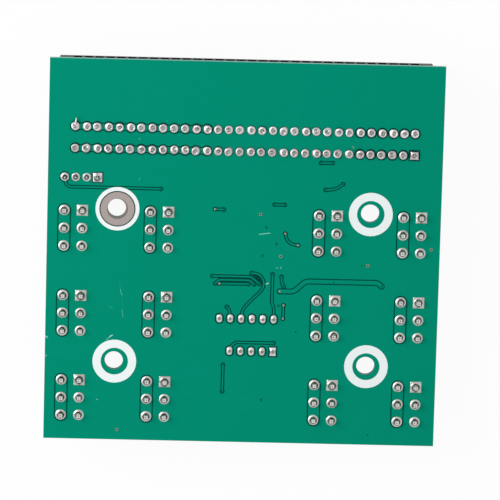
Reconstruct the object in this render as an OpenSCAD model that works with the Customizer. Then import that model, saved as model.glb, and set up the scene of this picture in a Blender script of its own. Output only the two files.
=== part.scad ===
// Power supply breakout board.
// A card-edge slot takes a server power supply's edge card, and twelve six-way headers bring its
// output out. A three-digit display shows the voltage, and a four-way pin header is for signals.
// The board stands on the mouths of the power headers, with its solder side up (+Z) and the slot
// at +Y. The origin is below the board's centre, on the plane that the headers stand on.

/* [Board] */
// Width of the circuit board, along X
board_w = 91.7; // [89:0.1:120]
// Depth of the circuit board, along Y
board_d = 90; // [88:0.5:120]
// Thickness of the circuit board
board_t = 1.6; // [1:0.1:2.4]
// Diameter of the mounting holes
mount_hole_d = 4.3; // [3:0.1:4.6]
// Distance between the mounting holes along X
mount_dx = 59; // [58.8:0.1:59.8]
// Distance between the mounting holes along Y
mount_dy = 36.2; // [34:0.1:38]
// Centre of the mounting-hole rectangle, X and Y
mount_centre = [-0.19, -7.94]; // [-10:0.01:10]
// How far the print and the copper lie off the drilled holes, X and Y
print_shift = [0.14, -0.2]; // [-0.25:0.01:0.25]
// Inner diameter of the printed rings round the mounting holes
ring_in_d = 6.4; // [5.6:0.1:7.6]
// Outer diameter of the printed rings
ring_out_d = 10.25; // [9.4:0.05:10.4]
// Inner diameter of the bare land round the grounded mounting hole
land_in_d = 4.9; // [4.9:0.1:5.4]
// Outer diameter of that land
land_out_d = 7.9; // [7:0.1:8]

/* [Board face] */
// Width of the bare gaps that part the copper areas
gap_w = 0.26; // [0.15:0.01:0.3]
// Depth of those gaps below the mask
gap_depth = 0.07; // [0.04:0.01:0.12]
// Width of the signal tracks
track_w = 0.36; // [0.3:0.02:0.5]
// Width of the track that brings the supply voltage to the display
sense_w = 0.92; // [0.6:0.02:1.2]
// Diameter of the drilled vias
via_d = 0.34; // [0.2:0.02:0.4]
// Diameter of the copper land at the end of a track
via_land_d = 0.62; // [0.6:0.02:0.9]
// Diameter of the tinned ring round a bare via
bare_land_d = 0.72; // [0.6:0.02:0.9]
// Height of printed ink and of bare lands above the mask
film_t = 0.05; // [0.03:0.01:0.1]

/* [Card-edge slot] */
// Number of contacts in each row
slot_ways = 32; // [8:1:32]
// Distance between neighbouring contacts
slot_pitch = 2.54; // [2:0.01:2.54]
// Middle of the slot along X
slot_x = -0.22; // [-1:0.02:1]
// Length of the slot housing
slot_len = 87; // [84:0.5:88]
// Depth of the slot housing, along Y
slot_depth = 12.5; // [11.5:0.5:13]
// Height of the slot housing off the board
slot_h = 9.5; // [9.5:0.1:12]
// How far the mouth stands back from the board's edge
slot_setback = 0.75; // [0:0.05:2]
// Height of the gap for the edge card
card_gap = 1.9; // [1.8:0.05:2.2]
// Depth of the gap for the edge card
card_depth = 8.5; // [7:0.1:9]
// Width of the chamber round each contact
chamber_w = 1.85; // [1.6:0.05:1.85]
// Thickness of the housing above and below the chambers
slot_wall = 0.9; // [0.7:0.05:1.2]
// Depth of the contact chambers
chamber_depth = 10; // [9:0.1:10.5]
// From the board's edge to the nearer row of contact tails
tail_row_in = 15.86; // [15.5:0.02:17]
// Distance between the two rows of contact tails
tail_row_gap = 5.08; // [4:0.02:5.08]
// Thickness of the contact strip
contact_t = 0.4; // [0.3:0.05:0.5]
// Width of the contact springs
spring_w = 1.3; // [1:0.05:1.5]
// Width of the contact tails
tail_w = 0.64; // [0.5:0.02:0.7]
// Free gap between facing contacts
contact_gap = 1.1; // [0.8:0.1:1.4]

/* [Power headers] */
// Distance between neighbouring power pins, both ways
power_pitch = 4.2; // [4:0.05:4.2]
// Centres of the header columns along X
header_columns = [-39.8, -19.75, 19.55, 39.2]; // [-40.5:0.05:40.5]
// Centre of the header row nearest the slot, along Y
header_row_y = 5.2; // [3:0.1:6]
// Distance between header rows
header_row_pitch = 20.15; // [17:0.05:20.5]
// Height of the header housings off the board
header_h = 12.8; // [12:0.1:14]
// Width of a header housing, along X
header_w = 9.6; // [9.4:0.1:9.8]
// Length of a header housing, along Y
header_len = 13.8; // [13.6:0.1:14.4]
// Width of the socket that each pin stands in
socket_w = 3.45; // [3:0.05:3.5]
// Depth of the sockets
socket_depth = 9.8; // [8:0.1:10.5]
// Side of the square power pins
power_pin_w = 1.07; // [0.9:0.01:1.1]
// How far the power pins stand back from the mouth
pin_setback = 3; // [2:0.1:4]
// How far the power pins stand out of the solder side
pin_tail = 1.5; // [1.2:0.1:2]
// Width of the latch ramp
latch_w = 3.4; // [3:0.1:4]
// How far the latch ramp stands out
latch_out = 1.3; // [1:0.1:1.4]

/* [Display] */
// Width of the display
display_w = 22.6; // [22:0.1:23]
// Height of the display's face
display_d = 10; // [9.5:0.1:10]
// Thickness of the display
display_t = 6.1; // [5.5:0.1:7]
// Centre of the display, X and Y
display_centre = [1.15, -19.3]; // [-25:0.05:5]
// Distance between the display's pin rows
display_rows = 7.72; // [7.5:0.01:8]
// Number of digits
digit_count = 3; // [1:1:3]
// Height of the digits
digit_h = 7; // [6:0.1:7.2]
// Width of the digits
digit_w = 3.9; // [3.5:0.1:4.2]
// Width of a digit's segments
segment_w = 0.8; // [0.6:0.05:1]
// Slant of the digits, in degrees
digit_slant = 8; // [0:1:10]

/* [Signal header] */
// Number of signal pins
signal_ways = 4; // [1:1:4]
// Centre of the first signal pin, X and Y
signal_start = [-41.92, 17.22]; // [-42:0.01:18]
// Side of the square signal pins
signal_pin_w = 0.64; // [0.5:0.01:0.7]
// How far the signal pins stand out of their base
signal_pin_out = 6; // [4:0.5:8]

/* [Hidden] */
$fn = 48;
fit_gap = 0.02;
pin_pitch = 2.54;
header_row_count = 3;
header_total = len(header_columns) * header_row_count;

function two_digits(n) = n < 10 ? str("0", n) : str(n);
function header_name(i) = str("power_header_", two_digits(i + 1));
function header_pins_name(i) = str("power_pins_", two_digits(i + 1));

HEADER_NODES = [for (i = [0:header_total - 1]) header_name(i)];
HEADER_PIN_NODES = [for (i = [0:header_total - 1]) header_pins_name(i)];

// Heights: the component side faces down, and the solder side faces up.
part_face = header_h;
solder_face = part_face + board_t;

// Slot
slot_front = board_d / 2 - slot_setback;
slot_rear = slot_front - slot_depth;
slot_low = part_face - slot_h;
slot_mid = part_face - slot_h / 2;
near_row_y = board_d / 2 - tail_row_in;
far_row_y = near_row_y - tail_row_gap;
contact_inset = 1.9;
contact_level = slot_h / 2 - slot_wall - contact_inset;
slot_pour_ways = 13;
slot_lone_ways = 6;
slot_tail_out = 0.8;
slot_rebate = [2, 0.5];
slot_pour_w = 1.3;

// Power headers
header_foot = 0.4;
header_skirt_h = 2.4;
header_skirt_t = 0.15;
header_corner = 0.5;
latch_reach = 8.2;
latch_top = part_face - latch_reach;
latch_lead = 0.8;
mouth_tip = [0.25, 0.45];
tail_tip = [0.11, 0.11];
pin_offsets = [for (column = [-0.5, 0.5], row = [1, 0, -1]) [column, row] * power_pitch];

// Solder side: drill radius, land radius and the height of the joint, for each kind of pin
power_drill_r = 0.9;
power_land_r = 1.3;
power_open_r = 1.24;
power_open_square = 2.6;
power_joint_h = 0.95;
joint_top = 1;
small_drill_r = 0.5;
slot_land_r = 1.05;
slot_joint_h = 0.85;
slot_bead_h = 0.75;
slot_bead_top_r = 0.42;
display_land = [1.6, 2.1];
display_joint_h = 0.8;
display_top_r = 0.36;
signal_land_r = 1.02;
signal_land_square = 2.1;
signal_top_r = 0.48;
joint_edge = 0.06;
via_bead_r = 0.27;
via_bead_h = 0.16;
// The mask closes a via on the component side, and dips into one that it covers
via_floor = 0.15;
via_dip_r = 0.2;
via_dip = 0.09;

// Cutting solids reach this far past the solid that they cut
cut_over = 1;

function header_centre(i) = [
    header_columns[i % len(header_columns)],
    header_row_y - floor(i / len(header_columns)) * header_row_pitch
];
function slot_pin_x(i) = slot_x + (i - (slot_ways - 1) / 2) * slot_pitch;
function display_pin_x(i) = display_centre[0] + (i - 2.5) * pin_pitch;
function signal_pin(i) = signal_start + [i * pin_pitch, 0];

display_upper_y = display_centre[1] + display_rows / 2;
display_lower_y = display_centre[1] - display_rows / 2;
display_upper_pins = [for (i = [0:5]) [display_pin_x(i), display_upper_y]];
display_lower_pins = [for (i = [1:5]) [display_pin_x(i), display_lower_y]];
mount_holes = [for (sx = [-0.5, 0.5], sy = [0.5, -0.5]) mount_centre + [sx * mount_dx, sy * mount_dy]];
function ring_centre(i) = mount_holes[i] + print_shift;

// Display
display_pin = 0.5;
display_root = 2;
display_low = part_face - display_t;
segment_depth = 0.4;
segment_sink = 0.05;
digit_pitch = 7.4;
dot_d = 0.95;

// Signal header
signal_base_h = 2.5;
signal_corner = 0.45;
signal_tail = 1.1;
signal_tip = [0.16, 0.3];

// Meter circuit on the component side
chip_ways = 8;
chip_pitch = 1.27;
chip_body = [9.9, 3.9, 1.4];
chip_lead_span = 6;
chip_lead_t = 0.2;
chip_lead_w = 0.42;
chip_stand = 0.1;
chip_draft = 0.12;
chip_mark_in = 0.95;
regulator_size = [4.5, 2.5, 1.5];
regulator_lead_t = 0.4;
regulator_tab_w = 1.7;
regulator_tab_out = 0.6;
regulator_lead_w = 0.45;
regulator_lead_out = 0.9;
regulator_lead_in = 0.4;
regulator_pitch = 1.5;
meter_chip_centre = [-0.55, -9.6];
regulator_centre = [10.4, -9.6];
// Places of the chip parts: X, Y and turn
resistor_places = [
    [-9.4, -5.4, 90], [-9.4, -9.4, 90], [6.97, -2.6, 90], [2.05, -2.4, 90], [6.6, 0.9, 0]
];
capacitor_places = [[-3.2, -2.6, 90], [13, -5.2, 90]];
chip_size = [2, 1.25];
resistor_t = 0.55;
capacitor_t = 1.25;
end_cap_l = 0.35;

// The round ends of a run of copper stand this much proud of its sides
end_swell = 0.02;
// Corners of a run are eased over this length, and over at most this share of a stretch
ease_reach = 0.5;
ease_share = 0.42;

// Tracks on the solder side, as runs of points from one end to the other
signal_track = [signal_pin(0), [-41.85, 16.2], [-41.45, 15.3], [-40.75, 14.9], [-19.55, 14.88]];
link_tracks = [
    [[-6.86, 10.38], [-4.8, 10.34]],
    [[17.55, 21.84], [20.2, 21.84]],
    [[22.78, 16.97], [21.78, 16.12], [20.48, 15.62], [18.78, 15.52]],
    [[7, 11.77], [9.3, 11.77]],
    [[9.67, 4.98], [9.85, 4.02], [10.42, 3.08], [11.3, 2.48], [12.73, 2.28]],
    [[9.07, -5.26], [9.1, -6.7], [9.63, -7.65]],
    [[9.7, -12.02], [9.65, -15.22]],
    [[-4.1, -26.55], [-4.1, -32.9]]
];
chip_tracks = [
    [[-7.05, -5.43], [1.63, -5.43], [2.33, -5.7], [3.93, -7.1]],
    [[-6.42, -7.2], [-5.72, -6.45], [-5.27, -6.28], [1.48, -6.28], [2.03, -6.55], [2.68, -7.2]],
    [[-5.42, -7.2], [1.38, -7.15]],
    [
        [2.05, -4.55], [3.23, -4.6], [4.23, -5.15], [4.88, -6.15], [5.03, -7.35], [4.63, -8.43],
        [0.88, -12.3], [0.17, -13.4], display_upper_pins[2]
    ]
];
pad_tracks = [
    [[-3.53, -12.7], [-2.95, -13.3], display_upper_pins[1]],
    [[6.97, -4.73], [6.95, -11.4], [7.45, -12.7], display_upper_pins[5]]
];
lower_pad_track = [display_lower_pins[0], [-2.3, -21.95], [-1.2, -21.1], [7.65, -21.1]];
sense_track = [
    [8.75, -8.74], [11.5, -8.72], [12.3, -8.47], [14, -6.87], [14.5, -6.47], [15.2, -6.22],
    [31.1, -6.22], [31.8, -6.42], [32.5, -7.07]
];
chip_void = [
    [-5.87, -5.75], [2.03, -5.55], [2.73, -4.75], [3.73, -4.95], [4.73, -6.75], [4.23, -7.25],
    [3.43, -7.15], [1.43, -6.95], [-5.17, -6.95]
];
// Vias away from the tracks: under the mask, and bare with a tinned ring
lone_vias = [
    [5.22, 6.35], [7.65, 2.44], [4.47, -0.42], [27.72, -2.17], [12.75, -18.4], [5.1, -34.75],
    [30.4, -42.6], [8.55, -12.2], [21.3, -6.27]
];
bare_vias = [[3.77, 9.39], [8.72, -0.42], [29.12, -2.17], [43.8, 1.98], [-28.62, -42.6]];

function first(list) = list[0];
function last(list) = list[len(list) - 1];
track_vias = concat(
    [for (track = link_tracks) each [first(track), last(track)]],
    [for (track = chip_tracks) first(track)],
    [for (i = [0:2]) last(chip_tracks[i])],
    [for (track = pad_tracks) first(track)],
    [last(signal_track), last(lower_pad_track), first(sense_track), last(sense_track)]
);
// Vias at the ends of tracks whose mask is open, so that tin fills them
filled_vias = [
    first(link_tracks[0]), first(link_tracks[4]), last(link_tracks[4]), first(link_tracks[6]),
    last(link_tracks[6]), first(chip_tracks[2]), first(sense_track)
];
function is_filled(at) = len([for (via = filled_vias) if (norm(via - at) < via_d) via]) > 0;
tented_vias = [for (at = concat(track_vias, lone_vias)) if (!is_filled(at)) at];

// Outline of a bent strip of even thickness along a run of points
function unit(v) = v / norm(v);
function left_of(v) = [-v[1], v[0]];
function run_dir(p, i) = unit(p[i + 1] - p[i]);
function mitre(p, i) = let (
        n = len(p) - 1,
        before = left_of(run_dir(p, max(i - 1, 0))),
        after = left_of(run_dir(p, min(i, n - 1))),
        m = unit(before + after)
    ) m / (m * after);
function strip(p, t) = concat(
    [for (i = [0:len(p) - 1]) p[i] + mitre(p, i) * t / 2],
    [for (i = [len(p) - 1:-1:0]) p[i] - mitre(p, i) * t / 2]
);
// Three points of a curve that eases the corner b between a and c
function ease(a, b, c) = let (
        on = b - unit(b - a) * min(ease_reach, norm(b - a) * ease_share),
        off = b + unit(c - b) * min(ease_reach, norm(c - b) * ease_share)
    ) [on, (on + 2 * b + off) / 4, off];
function eased(p) = concat(
    [first(p)],
    [for (i = [1:1:len(p) - 2]) each ease(p[i - 1], p[i], p[i + 1])],
    [last(p)]
);
function bend(centre, r, from, to) = [
    for (i = [0:4]) let (a = from + (to - from) * i / 4) centre + r * [cos(a), sin(a)]
];

// ---- copper areas and the gaps round them; $grow widens an area by the gap ----

module spot(at, r) translate(at) circle(r = r + $grow);

module patch(at, size) translate(at) square(size + 2 * [$grow, $grow], center = true);

module run(points, w) {
    polygon(strip(eased(points), w + 2 * $grow));
    spot(first(points), w / 2 + end_swell);
    spot(last(points), w / 2 + end_swell);
}

module track(points, w = track_w) {
    run(points, w);
    spot(first(points), via_land_d / 2);
    spot(last(points), via_land_d / 2);
}

module oval_pad(at) {
    half = (display_land[1] - display_land[0]) / 2;
    run([at - [0, half], at + [0, half]], display_land[0]);
}

module gap_round() {
    translate([0, 0, solder_face - gap_depth])
        difference() {
            linear_extrude(gap_depth + cut_over) let ($grow = gap_w) children();
            linear_extrude(gap_depth + cut_over) let ($grow = 0) children();
        }
}

module slot_pour(row_y) {
    shown = min(slot_pour_ways, slot_ways);
    for (i = [0:shown - 1]) spot([slot_pin_x(i), row_y], slot_land_r);
    run([[slot_pin_x(0), row_y], [slot_pin_x(shown - 1), row_y]], slot_pour_w);
}

module slot_gaps() {
    for (row_y = [near_row_y, far_row_y]) gap_round() slot_pour(row_y);
    for (i = [max(slot_ways - slot_lone_ways, slot_pour_ways):slot_ways - 1]) {
        gap_round() spot([slot_pin_x(i), near_row_y], slot_land_r);
        if (i < slot_ways - 1) gap_round() spot([slot_pin_x(i), far_row_y], slot_land_r);
        else gap_round() patch([slot_pin_x(i), far_row_y], 2 * slot_land_r * [1, 1]);
    }
}

module header_gaps() {
    for (i = [0:header_total - 1]) {
        c = header_centre(i);
        gap_round() run([c + pin_offsets[0], c + pin_offsets[2]], 2 * power_land_r);
    }
}

module display_gaps() {
    for (i = [0, 3, 4]) gap_round() oval_pad(display_upper_pins[i]);
    for (i = [1, 2, 3]) gap_round() oval_pad(display_lower_pins[i]);
    gap_round() patch(last(display_lower_pins), display_land);
    gap_round() {
        oval_pad(display_lower_pins[0]);
        track(lower_pad_track);
    }
    for (i = [0, 1]) gap_round() {
        oval_pad(last(pad_tracks[i]));
        run(pad_tracks[i], track_w);
        spot(first(pad_tracks[i]), via_land_d / 2);
    }
}

module chip_areas() {
    for (i = [0:2]) track(chip_tracks[i]);
    run(chip_tracks[3], track_w);
    spot(first(chip_tracks[3]), via_land_d / 2);
    oval_pad(display_upper_pins[2]);
}

module track_gaps() {
    for (points = link_tracks) gap_round() track(points);
    gap_round() run(sense_track, sense_w);
    gap_round() {
        spot(signal_pin(0), signal_land_r);
        run(signal_track, track_w);
        spot(last(signal_track), via_land_d / 2);
    }
    gap_round() patch(signal_pin(signal_ways - 1), signal_land_square * [1, 1]);
    translate([0, 0, solder_face - gap_depth])
        difference() {
            linear_extrude(gap_depth + cut_over) {
                let ($grow = gap_w) chip_areas();
                polygon(chip_void);
            }
            linear_extrude(gap_depth + cut_over) let ($grow = 0) chip_areas();
        }
}

// ---- circuit board ----

module drill(at, r) {
    translate([at[0], at[1], part_face - cut_over]) cylinder(r = r, h = board_t + 2 * cut_over);
}

// Round hole from the solder side that stops inside the board
module sink(at, r, depth) {
    translate([at[0], at[1], solder_face - depth]) cylinder(r = r, h = depth + cut_over);
}

module circuit_board() {
    color([0.01, 0.55, 0.44])
        difference() {
            translate([-board_w / 2, -board_d / 2, part_face]) cube([board_w, board_d, board_t]);
            for (at = mount_holes) drill(at, mount_hole_d / 2);
            for (i = [0:slot_ways - 1], row_y = [near_row_y, far_row_y])
                drill([slot_pin_x(i), row_y], small_drill_r);
            for (i = [0:header_total - 1], p = pin_offsets) drill(header_centre(i) + p, power_drill_r);
            for (at = concat(display_upper_pins, display_lower_pins)) drill(at, small_drill_r);
            for (i = [0:signal_ways - 1]) drill(signal_pin(i), small_drill_r);
            for (at = concat(filled_vias, bare_vias)) sink(at, via_d / 2, board_t - via_floor);
            for (at = tented_vias) sink(at, via_dip_r, via_dip);
            slot_gaps();
            header_gaps();
            display_gaps();
            track_gaps();
            gap_round() spot(ring_centre(0), land_out_d / 2);
        }
}

module flat_ring(at, r_in, r_out) {
    translate([at[0], at[1], solder_face])
        difference() {
            cylinder(r = r_out, h = film_t);
            translate([0, 0, -cut_over]) cylinder(r = r_in, h = film_t + 2 * cut_over);
        }
}

module printed_rings() {
    color("white") {
        flat_ring(ring_centre(0), land_out_d / 2 + gap_w, ring_out_d / 2);
        for (i = [1:3]) flat_ring(ring_centre(i), ring_in_d / 2, ring_out_d / 2);
    }
}

module ground_land() {
    color([0.7, 0.66, 0.63]) flat_ring(ring_centre(0), land_in_d / 2, land_out_d / 2);
}

// Low bead of tin on a via, with the stem that fills its hole
module via_bead(at) {
    stem_r = via_d / 2;
    stem_end = via_floor - board_t;
    crown = bead_joint(via_bead_r, 0, via_bead_h);
    translate([at[0], at[1], solder_face])
        rotate_extrude()
            polygon(concat([[0, stem_end], [stem_r, stem_end], [stem_r, 0], [via_bead_r, 0]], crown));
}

module tinned_vias() {
    color([0.78, 0.76, 0.74]) {
        for (at = filled_vias) via_bead(at);
        for (at = bare_vias) flat_ring(at, via_d / 2, bare_land_d / 2);
    }
}

// ---- solder joints ----

// Hollow cone of solder that climbs a pin
function climbing_joint(land_r, top_r, h) = [
    for (i = [0:5]) let (a = 90 * i / 5)
        [top_r + (land_r - top_r) * (1 - sin(a)), joint_edge + (h - joint_edge) * (1 - cos(a))]
];
// Rounded bead of solder that nearly covers a pin
function bead_joint(land_r, top_r, h) = [
    for (i = [0:5]) let (a = 90 * i / 5)
        [top_r + (land_r - top_r) * cos(a), joint_edge + (h - joint_edge) * sin(a)]
];

// Upright block round the joint's centre, from under the board to above the joint
module pin_space(size) {
    translate([0, 0, (joint_top - board_t) / 2])
        cube([size[0], size[1], joint_top + board_t + 2 * cut_over], center = true);
}

module joint(outline, land_r, drill_r, pin, back_land = 0) {
    back = -board_t - film_t;
    lower = back_land > 0
        ? [[0, back], [back_land, back], [back_land, -board_t], [drill_r, -board_t]]
        : [[0, -board_t], [drill_r, -board_t]];
    difference() {
        rotate_extrude()
            polygon(concat(lower, [[drill_r, 0], [land_r, 0]], outline, [[0, last(outline)[1]]]));
        pin_space(pin);
    }
}

module square_joint(land, top_r, h, drill_r, pin) {
    far = norm(land) / 2;
    intersection() {
        joint(climbing_joint(far, top_r, h), far, drill_r, pin);
        pin_space(land);
    }
}

module slot_solder(row_y, square_last) {
    pin = [tail_w, contact_t];
    bead = bead_joint(slot_land_r, slot_bead_top_r, slot_bead_h);
    color([0.8, 0.79, 0.78])
        for (i = [0:slot_ways - 1])
            translate([slot_pin_x(i), row_y, solder_face])
                if (square_last && i == slot_ways - 1)
                    square_joint(2 * slot_land_r * [1, 1], slot_bead_top_r, slot_joint_h, small_drill_r, pin);
                else joint(bead, slot_land_r, small_drill_r, pin, slot_land_r);
}

module power_solder(row) {
    pin = power_pin_w * [1, 1];
    square_land = power_open_square * [1, 1];
    top_r = power_pin_w * 0.75;
    climb = climbing_joint(power_open_r, top_r, power_joint_h);
    color([0.8, 0.79, 0.78])
        for (column = [0:len(header_columns) - 1], k = [0:len(pin_offsets) - 1]) {
            at = header_centre(row * len(header_columns) + column) + pin_offsets[k];
            translate([at[0], at[1], solder_face])
                if (k == 3) square_joint(square_land, top_r, power_joint_h, power_drill_r, pin);
                else joint(climb, power_open_r, power_drill_r, pin);
        }
}

module oval_joint(land, top_r, h, drill_r, pin) {
    half = (land[1] - land[0]) / 2;
    intersection() {
        joint(bead_joint(land[1] / 2, top_r, h), land[1] / 2, drill_r, pin);
        translate([0, 0, -board_t - cut_over])
            linear_extrude(joint_top + board_t + 2 * cut_over)
                let ($grow = 0) run([[0, -half], [0, half]], land[0]);
    }
}

module display_solder() {
    pin = display_pin * [1, 1];
    color([0.8, 0.79, 0.78]) {
        for (at = concat(display_upper_pins, [for (i = [0:3]) display_lower_pins[i]]))
            translate([at[0], at[1], solder_face])
                oval_joint(display_land, display_top_r, display_joint_h, small_drill_r, pin);
        translate([last(display_lower_pins)[0], last(display_lower_pins)[1], solder_face])
            square_joint(display_land, display_top_r, display_joint_h, small_drill_r, pin);
    }
}

module signal_solder() {
    pin = signal_pin_w * [1, 1];
    square_land = signal_land_square * [1, 1];
    climb = climbing_joint(signal_land_r, signal_top_r, slot_joint_h);
    color([0.8, 0.79, 0.78])
        for (i = [0:signal_ways - 1])
            translate([signal_pin(i)[0], signal_pin(i)[1], solder_face])
                if (i == signal_ways - 1)
                    square_joint(square_land, signal_top_r, slot_joint_h, small_drill_r, pin);
                else joint(climb, signal_land_r, small_drill_r, pin);
}

// ---- card-edge slot ----

// Block cut into the slot housing from its mouth
module mouth_cut(x, w, depth, h) {
    translate([x - w / 2, slot_front - depth, slot_mid - h / 2]) cube([w, depth + cut_over, h]);
}

module slot_housing() {
    chamber_h = slot_h - 2 * slot_wall;
    card_w = slot_ways * slot_pitch + 1;
    lead = 0.5;
    mouth = card_gap / 2 + lead + cut_over;
    color([0.12, 0.12, 0.13])
        difference() {
            translate([slot_x - slot_len / 2, slot_rear, slot_low]) cube([slot_len, slot_depth, slot_h]);
            for (i = [0:slot_ways - 1]) mouth_cut(slot_pin_x(i), chamber_w, chamber_depth, chamber_h);
            mouth_cut(slot_x, card_w, card_depth, card_gap);
            // lead-in at the mouth
            translate([slot_x - card_w / 2, 0, 0])
                rotate([90, 0, 90])
                    linear_extrude(card_w)
                        polygon([
                            [slot_front - lead, slot_mid - card_gap / 2],
                            [slot_front + cut_over, slot_mid - mouth],
                            [slot_front + cut_over, slot_mid + mouth],
                            [slot_front - lead, slot_mid + card_gap / 2]
                        ]);
            // passages for the contacts through the rear wall
            for (i = [0:slot_ways - 1], side = [-1, 1])
                translate([slot_pin_x(i), slot_rear, slot_mid + side * contact_level])
                    cube([tail_w + 2 * fit_gap, slot_depth, contact_t + 2 * fit_gap], center = true);
            // rebate under the rear of the housing, along the board
            translate([slot_x, slot_rear, part_face])
                cube([slot_len + 2 * cut_over, 2 * slot_rebate[0], 2 * slot_rebate[1]], center = true);
        }
}

// Line of the contact spring inside its chamber, from the mouth to the rear wall
function spring_line(side) = let (
        z0 = slot_mid,
        far = side * contact_level,
        touch = side * (contact_gap + contact_t) / 2,
        y = slot_front
    ) [
        [y - 0.7, z0 + touch + side * 0.9],
        [y - 2.2, z0 + touch + side * 0.35],
        [y - 3.1, z0 + touch],
        [y - 4.0, z0 + touch + side * 0.1],
        [y - chamber_depth + 1.2, z0 + far],
        [y - chamber_depth, z0 + far]
    ];

module contact(side, row_y) {
    level = slot_mid + side * contact_level;
    bend_r = 0.8;
    spring = spring_line(side);
    tail = concat(
        [last(spring)],
        bend([row_y + bend_r, level + bend_r], bend_r, 270, 180),
        [[row_y, solder_face + slot_tail_out]]
    );
    rotate([90, 0, 90]) {
        translate([0, 0, -spring_w / 2]) linear_extrude(spring_w) polygon(strip(spring, contact_t));
        translate([0, 0, -tail_w / 2]) linear_extrude(tail_w) polygon(strip(tail, contact_t));
    }
}

module slot_contacts(side, row_y) {
    color([0.85, 0.7, 0.35])
        for (i = [0:slot_ways - 1]) translate([slot_pin_x(i), 0, 0]) contact(side, row_y);
}

// ---- power headers ----

module socket_outline(keyed) {
    h = socket_w / 2;
    c = keyed ? 0.95 : 0.2;
    polygon([[-h, -h], [h, -h], [h, h - c], [h - c, h], [-h + c, h], [-h, h - c]]);
}

module block_outline(w, l, c = header_corner) {
    x = w / 2;
    y = l / 2;
    polygon([
        [-x, -y + c], [-x + c, -y], [x - c, -y], [x, -y + c],
        [x, y - c], [x - c, y], [-x + c, y], [-x, y - c]
    ]);
}

module power_header(i) {
    at = header_centre(i);
    body_h = header_h - header_foot;
    foot = 1.6;
    foot_at = [header_w - foot, header_len - foot] / 2 - header_corner * [1, 1];
    core = [header_w, header_len] - 2 * header_skirt_t * [1, 1];
    hole = power_pin_w + 2 * fit_gap;
    color([0.1, 0.1, 0.11])
        translate([at[0], at[1], 0])
            difference() {
                union() {
                    linear_extrude(body_h) block_outline(core[0], core[1]);
                    translate([0, 0, body_h - header_skirt_h])
                        linear_extrude(header_skirt_h) block_outline(header_w, header_len);
                    for (sx = [-1, 1], sy = [-1, 1])
                        translate([sx * foot_at[0], sy * foot_at[1], body_h])
                            cube([foot, foot, 2 * header_foot], center = true);
                    latch_ramp();
                }
                for (k = [0:len(pin_offsets) - 1])
                    translate([pin_offsets[k][0], pin_offsets[k][1], 0]) {
                        translate([0, 0, -cut_over])
                            linear_extrude(socket_depth + cut_over) socket_outline(k % 2 == 1);
                        translate([-hole / 2, -hole / 2, 0]) cube([hole, hole, header_h]);
                    }
            }
}

// Wedge that the plug's latch snaps over, near the mouth
module latch_ramp() {
    wall_x = header_w / 2 - header_skirt_t;
    tip = wall_x + latch_out;
    translate([0, latch_w / 2, 0])
        rotate([90, 0, 0])
            linear_extrude(latch_w)
                polygon([
                    [wall_x - 0.3, latch_lead], [wall_x, latch_lead], [tip, latch_top - 1.2],
                    [tip, latch_top], [wall_x - 0.3, latch_top]
                ]);
}

// Square pin with a chamfered tip at each end, each as the cut's width and height
module square_pin(w, z0, z1, low_tip, top_tip) {
    x = w / 2;
    x_low = x - low_tip[0];
    x_top = x - top_tip[0];
    module side_view() {
        linear_extrude(w + 2 * cut_over, center = true)
            polygon([
                [-x_low, z0], [x_low, z0], [x, z0 + low_tip[1]], [x, z1 - top_tip[1]],
                [x_top, z1], [-x_top, z1], [-x, z1 - top_tip[1]], [-x, z0 + low_tip[1]]
            ]);
    }
    intersection() {
        rotate([90, 0, 0]) side_view();
        rotate([90, 0, 90]) side_view();
    }
}

module power_pins(i) {
    at = header_centre(i);
    color([0.86, 0.85, 0.8])
        for (p = pin_offsets)
            translate([at[0] + p[0], at[1] + p[1], 0])
                square_pin(power_pin_w, pin_setback, solder_face + pin_tail, mouth_tip, tail_tip);
}

// ---- display ----

function slanted(p) = [p[0] + p[1] * tan(digit_slant), p[1]];

module bar_segment(from, to) {
    d = unit(to - from);
    n = left_of(d) * segment_w / 2;
    cut = d * segment_w / 2;
    inset = d * 0.12;
    a = from + inset;
    b = to - inset;
    polygon([for (p = [a, a + cut + n, b - cut + n, b, b - cut - n, a + cut - n]) slanted(p)]);
}

module digit() {
    x = (digit_w - segment_w) / 2;
    y = (digit_h - segment_w) / 2;
    bar_segment([-x, y], [x, y]);
    bar_segment([-x, 0], [x, 0]);
    bar_segment([-x, -y], [x, -y]);
    for (sx = [-1, 1], sy = [0, 1]) bar_segment([sx * x, (sy - 1) * y], [sx * x, sy * y]);
    translate(slanted([x + segment_w / 2 + 0.75, -y + 0.05])) circle(d = dot_d);
}

// The digits as seen from the component side, with their tops toward the slot
module digits() {
    for (i = [0:digit_count - 1])
        translate([(i - (digit_count - 1) / 2) * digit_pitch - 0.25, 0]) digit();
}

module display_block(w, d, z0, z1) {
    translate([display_centre[0] - w / 2, display_centre[1] - d / 2, z0]) cube([w, d, z1 - z0]);
}

module display_face(z0, h) {
    translate([display_centre[0], display_centre[1], z0]) mirror([1, 0, 0]) linear_extrude(h) digits();
}

module display_case() {
    hole = display_pin + 2 * fit_gap;
    color([0.16, 0.16, 0.17])
        difference() {
            display_block(display_w, display_d, display_low, part_face);
            display_face(display_low - cut_over, segment_depth + cut_over);
            for (at = concat(display_upper_pins, display_lower_pins))
                translate([at[0], at[1], part_face]) cube([hole, hole, 2 * display_root], center = true);
        }
}

module display_segments() {
    color([0.86, 0.84, 0.78]) display_face(display_low + segment_sink, segment_depth - segment_sink);
}

module display_pins() {
    color([0.8, 0.79, 0.78])
        for (at = concat(display_upper_pins, display_lower_pins))
            translate([at[0] - display_pin / 2, at[1] - display_pin / 2, part_face - display_root])
                cube([display_pin, display_pin, board_t + display_root + display_joint_h + 0.1]);
}

// ---- signal header ----

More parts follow.
